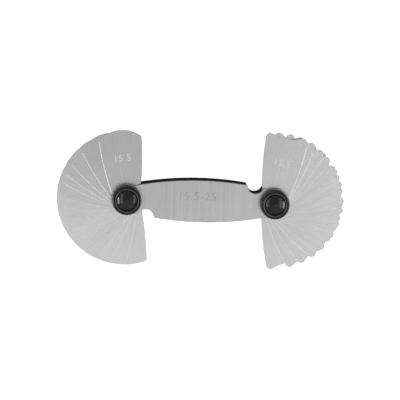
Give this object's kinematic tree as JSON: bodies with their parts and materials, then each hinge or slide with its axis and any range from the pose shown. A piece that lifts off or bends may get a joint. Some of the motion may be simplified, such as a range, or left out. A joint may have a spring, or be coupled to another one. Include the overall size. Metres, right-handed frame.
{
  "type": "radius gauge set",
  "caption": "Pocket radius gauge set: convex and concave steel leaves fanned out on two pins between flat handle covers, each stack clamped by a knurled black knob.",
  "frame": {"origin": "midway between the two pivot pins, on the outer face of the rear cover", "axes": "+X along the handle from the convex leaves' pin to the concave leaves' pin, +Y across it towards the front leaves' tips, +Z out of the front cover"},
  "size_m": [0.1408, 0.0695, 0.0158],
  "materials": {
    "cover_steel": "satin",
    "leaf_steel": "satin",
    "pin_steel": "turned",
    "bush_brass": "turned",
    "black_plastic": "moulded, semi-gloss"
  },
  "bodies": {
    "case": {"rear_cover": "cover_steel", "front_cover": "cover_steel", "left_pivot_pin": "pin_steel", "right_pivot_pin": "pin_steel"},
    "left_washer_disc": {"left_washer": "pin_steel"},
    "left_clamp_knob": {"left_knob": "black_plastic", "left_knob_bush": "bush_brass"},
    "right_washer_disc": {"right_washer": "pin_steel"},
    "right_clamp_knob": {"right_knob": "black_plastic", "right_knob_bush": "bush_brass"},
    "convex_r15_5": {"convex_leaf_r15_5": "leaf_steel"},
    "convex_r16": {"convex_leaf_r16": "leaf_steel"},
    "convex_r16_5": {"convex_leaf_r16_5": "leaf_steel"},
    "convex_r17": {"convex_leaf_r17": "leaf_steel"},
    "convex_r17_5": {"convex_leaf_r17_5": "leaf_steel"},
    "convex_r18": {"convex_leaf_r18": "leaf_steel"},
    "convex_r18_5": {"convex_leaf_r18_5": "leaf_steel"},
    "convex_r19": {"convex_leaf_r19": "leaf_steel"},
    "convex_r19_5": {"convex_leaf_r19_5": "leaf_steel"},
    "convex_r20": {"convex_leaf_r20": "leaf_steel"},
    "convex_r21": {"convex_leaf_r21": "leaf_steel"},
    "convex_r22": {"convex_leaf_r22": "leaf_steel"},
    "convex_r23": {"convex_leaf_r23": "leaf_steel"},
    "convex_r24": {"convex_leaf_r24": "leaf_steel"},
    "convex_r25": {"convex_leaf_r25": "leaf_steel"},
    "concave_r15_5": {"concave_leaf_r15_5": "leaf_steel"},
    "concave_r16": {"concave_leaf_r16": "leaf_steel"},
    "concave_r16_5": {"concave_leaf_r16_5": "leaf_steel"},
    "concave_r17": {"concave_leaf_r17": "leaf_steel"},
    "concave_r17_5": {"concave_leaf_r17_5": "leaf_steel"},
    "concave_r18": {"concave_leaf_r18": "leaf_steel"},
    "concave_r18_5": {"concave_leaf_r18_5": "leaf_steel"},
    "concave_r19": {"concave_leaf_r19": "leaf_steel"},
    "concave_r19_5": {"concave_leaf_r19_5": "leaf_steel"},
    "concave_r20": {"concave_leaf_r20": "leaf_steel"},
    "concave_r21": {"concave_leaf_r21": "leaf_steel"},
    "concave_r22": {"concave_leaf_r22": "leaf_steel"},
    "concave_r23": {"concave_leaf_r23": "leaf_steel"},
    "concave_r24": {"concave_leaf_r24": "leaf_steel"},
    "concave_r25": {"concave_leaf_r25": "leaf_steel"}
  },
  "joints": [
    {"name": "left_knob_lift", "type": "slide", "parent": "case", "child": "left_washer_disc", "axis": [0, 0, 1], "range_m": [0, 0.0007]},
    {"name": "left_knob_turn", "type": "hinge", "parent": "left_washer_disc", "child": "left_clamp_knob", "pos_m": [-0.036, 0, 0.0107], "axis": [0, 0, 1], "range_deg": [0, 360]},
    {"name": "right_knob_lift", "type": "slide", "parent": "case", "child": "right_washer_disc", "axis": [0, 0, 1], "range_m": [0, 0.0007]},
    {"name": "right_knob_turn", "type": "hinge", "parent": "right_washer_disc", "child": "right_clamp_knob", "pos_m": [0.036, 0, 0.0107], "axis": [0, 0, 1], "range_deg": [0, 360]},
    {"name": "convex_r15_5_swing", "type": "hinge", "parent": "case", "child": "convex_r15_5", "pos_m": [-0.036, 0, 0.00885], "axis": [0, 0, 1], "range_deg": [-98, 262]},
    {"name": "convex_r16_swing", "type": "hinge", "parent": "case", "child": "convex_r16", "pos_m": [-0.036, 0, 0.00831], "axis": [0, 0, 1], "range_deg": [-116, 244]},
    {"name": "convex_r16_5_swing", "type": "hinge", "parent": "case", "child": "convex_r16_5", "pos_m": [-0.036, 0, 0.00777], "axis": [0, 0, 1], "range_deg": [-130.5, 229.5]},
    {"name": "convex_r17_swing", "type": "hinge", "parent": "case", "child": "convex_r17", "pos_m": [-0.036, 0, 0.00723], "axis": [0, 0, 1], "range_deg": [-140.5, 219.5]},
    {"name": "convex_r17_5_swing", "type": "hinge", "parent": "case", "child": "convex_r17_5", "pos_m": [-0.036, 0, 0.00669], "axis": [0, 0, 1], "range_deg": [-149, 211]},
    {"name": "convex_r18_swing", "type": "hinge", "parent": "case", "child": "convex_r18", "pos_m": [-0.036, 0, 0.00615], "axis": [0, 0, 1], "range_deg": [-161, 199]},
    {"name": "convex_r18_5_swing", "type": "hinge", "parent": "case", "child": "convex_r18_5", "pos_m": [-0.036, 0, 0.00561], "axis": [0, 0, 1], "range_deg": [-171, 189]},
    {"name": "convex_r19_swing", "type": "hinge", "parent": "case", "child": "convex_r19", "pos_m": [-0.036, 0, 0.00507], "axis": [0, 0, 1], "range_deg": [-182, 178]},
    {"name": "convex_r19_5_swing", "type": "hinge", "parent": "case", "child": "convex_r19_5", "pos_m": [-0.036, 0, 0.00453], "axis": [0, 0, 1], "range_deg": [-193, 167]},
    {"name": "convex_r20_swing", "type": "hinge", "parent": "case", "child": "convex_r20", "pos_m": [-0.036, 0, 0.00399], "axis": [0, 0, 1], "range_deg": [-205, 155]},
    {"name": "convex_r21_swing", "type": "hinge", "parent": "case", "child": "convex_r21", "pos_m": [-0.036, 0, 0.00345], "axis": [0, 0, 1], "range_deg": [-216, 144]},
    {"name": "convex_r22_swing", "type": "hinge", "parent": "case", "child": "convex_r22", "pos_m": [-0.036, 0, 0.00291], "axis": [0, 0, 1], "range_deg": [-227.5, 132.5]},
    {"name": "convex_r23_swing", "type": "hinge", "parent": "case", "child": "convex_r23", "pos_m": [-0.036, 0, 0.00237], "axis": [0, 0, 1], "range_deg": [-239.5, 120.5]},
    {"name": "convex_r24_swing", "type": "hinge", "parent": "case", "child": "convex_r24", "pos_m": [-0.036, 0, 0.00183], "axis": [0, 0, 1], "range_deg": [-253, 107]},
    {"name": "convex_r25_swing", "type": "hinge", "parent": "case", "child": "convex_r25", "pos_m": [-0.036, 0, 0.00129], "axis": [0, 0, 1], "range_deg": [-271.5, 88.5]},
    {"name": "concave_r15_5_swing", "type": "hinge", "parent": "case", "child": "concave_r15_5", "pos_m": [0.036, 0, 0.00885], "axis": [0, 0, 1], "range_deg": [-261.5, 98.5]},
    {"name": "concave_r16_swing", "type": "hinge", "parent": "case", "child": "concave_r16", "pos_m": [0.036, 0, 0.00831], "axis": [0, 0, 1], "range_deg": [-254, 106]},
    {"name": "concave_r16_5_swing", "type": "hinge", "parent": "case", "child": "concave_r16_5", "pos_m": [0.036, 0, 0.00777], "axis": [0, 0, 1], "range_deg": [-244, 116]},
    {"name": "concave_r17_swing", "type": "hinge", "parent": "case", "child": "concave_r17", "pos_m": [0.036, 0, 0.00723], "axis": [0, 0, 1], "range_deg": [-235.5, 124.5]},
    {"name": "concave_r17_5_swing", "type": "hinge", "parent": "case", "child": "concave_r17_5", "pos_m": [0.036, 0, 0.00669], "axis": [0, 0, 1], "range_deg": [-223.5, 136.5]},
    {"name": "concave_r18_swing", "type": "hinge", "parent": "case", "child": "concave_r18", "pos_m": [0.036, 0, 0.00615], "axis": [0, 0, 1], "range_deg": [-211.5, 148.5]},
    {"name": "concave_r18_5_swing", "type": "hinge", "parent": "case", "child": "concave_r18_5", "pos_m": [0.036, 0, 0.00561], "axis": [0, 0, 1], "range_deg": [-197, 163]},
    {"name": "concave_r19_swing", "type": "hinge", "parent": "case", "child": "concave_r19", "pos_m": [0.036, 0, 0.00507], "axis": [0, 0, 1], "range_deg": [-189, 171]},
    {"name": "concave_r19_5_swing", "type": "hinge", "parent": "case", "child": "concave_r19_5", "pos_m": [0.036, 0, 0.00453], "axis": [0, 0, 1], "range_deg": [-176.5, 183.5]},
    {"name": "concave_r20_swing", "type": "hinge", "parent": "case", "child": "concave_r20", "pos_m": [0.036, 0, 0.00399], "axis": [0, 0, 1], "range_deg": [-166, 194]},
    {"name": "concave_r21_swing", "type": "hinge", "parent": "case", "child": "concave_r21", "pos_m": [0.036, 0, 0.00345], "axis": [0, 0, 1], "range_deg": [-152.5, 207.5]},
    {"name": "concave_r22_swing", "type": "hinge", "parent": "case", "child": "concave_r22", "pos_m": [0.036, 0, 0.00291], "axis": [0, 0, 1], "range_deg": [-143.5, 216.5]},
    {"name": "concave_r23_swing", "type": "hinge", "parent": "case", "child": "concave_r23", "pos_m": [0.036, 0, 0.00237], "axis": [0, 0, 1], "range_deg": [-133, 227]},
    {"name": "concave_r24_swing", "type": "hinge", "parent": "case", "child": "concave_r24", "pos_m": [0.036, 0, 0.00183], "axis": [0, 0, 1], "range_deg": [-122, 238]},
    {"name": "concave_r25_swing", "type": "hinge", "parent": "case", "child": "concave_r25", "pos_m": [0.036, 0, 0.00129], "axis": [0, 0, 1], "range_deg": [-105, 255]}
  ],
  "couplings": [
    {"joint": "left_knob_turn", "follows": "left_knob_lift", "rad_per_m": 8976},
    {"joint": "right_knob_turn", "follows": "right_knob_lift", "rad_per_m": 8976}
  ]
}
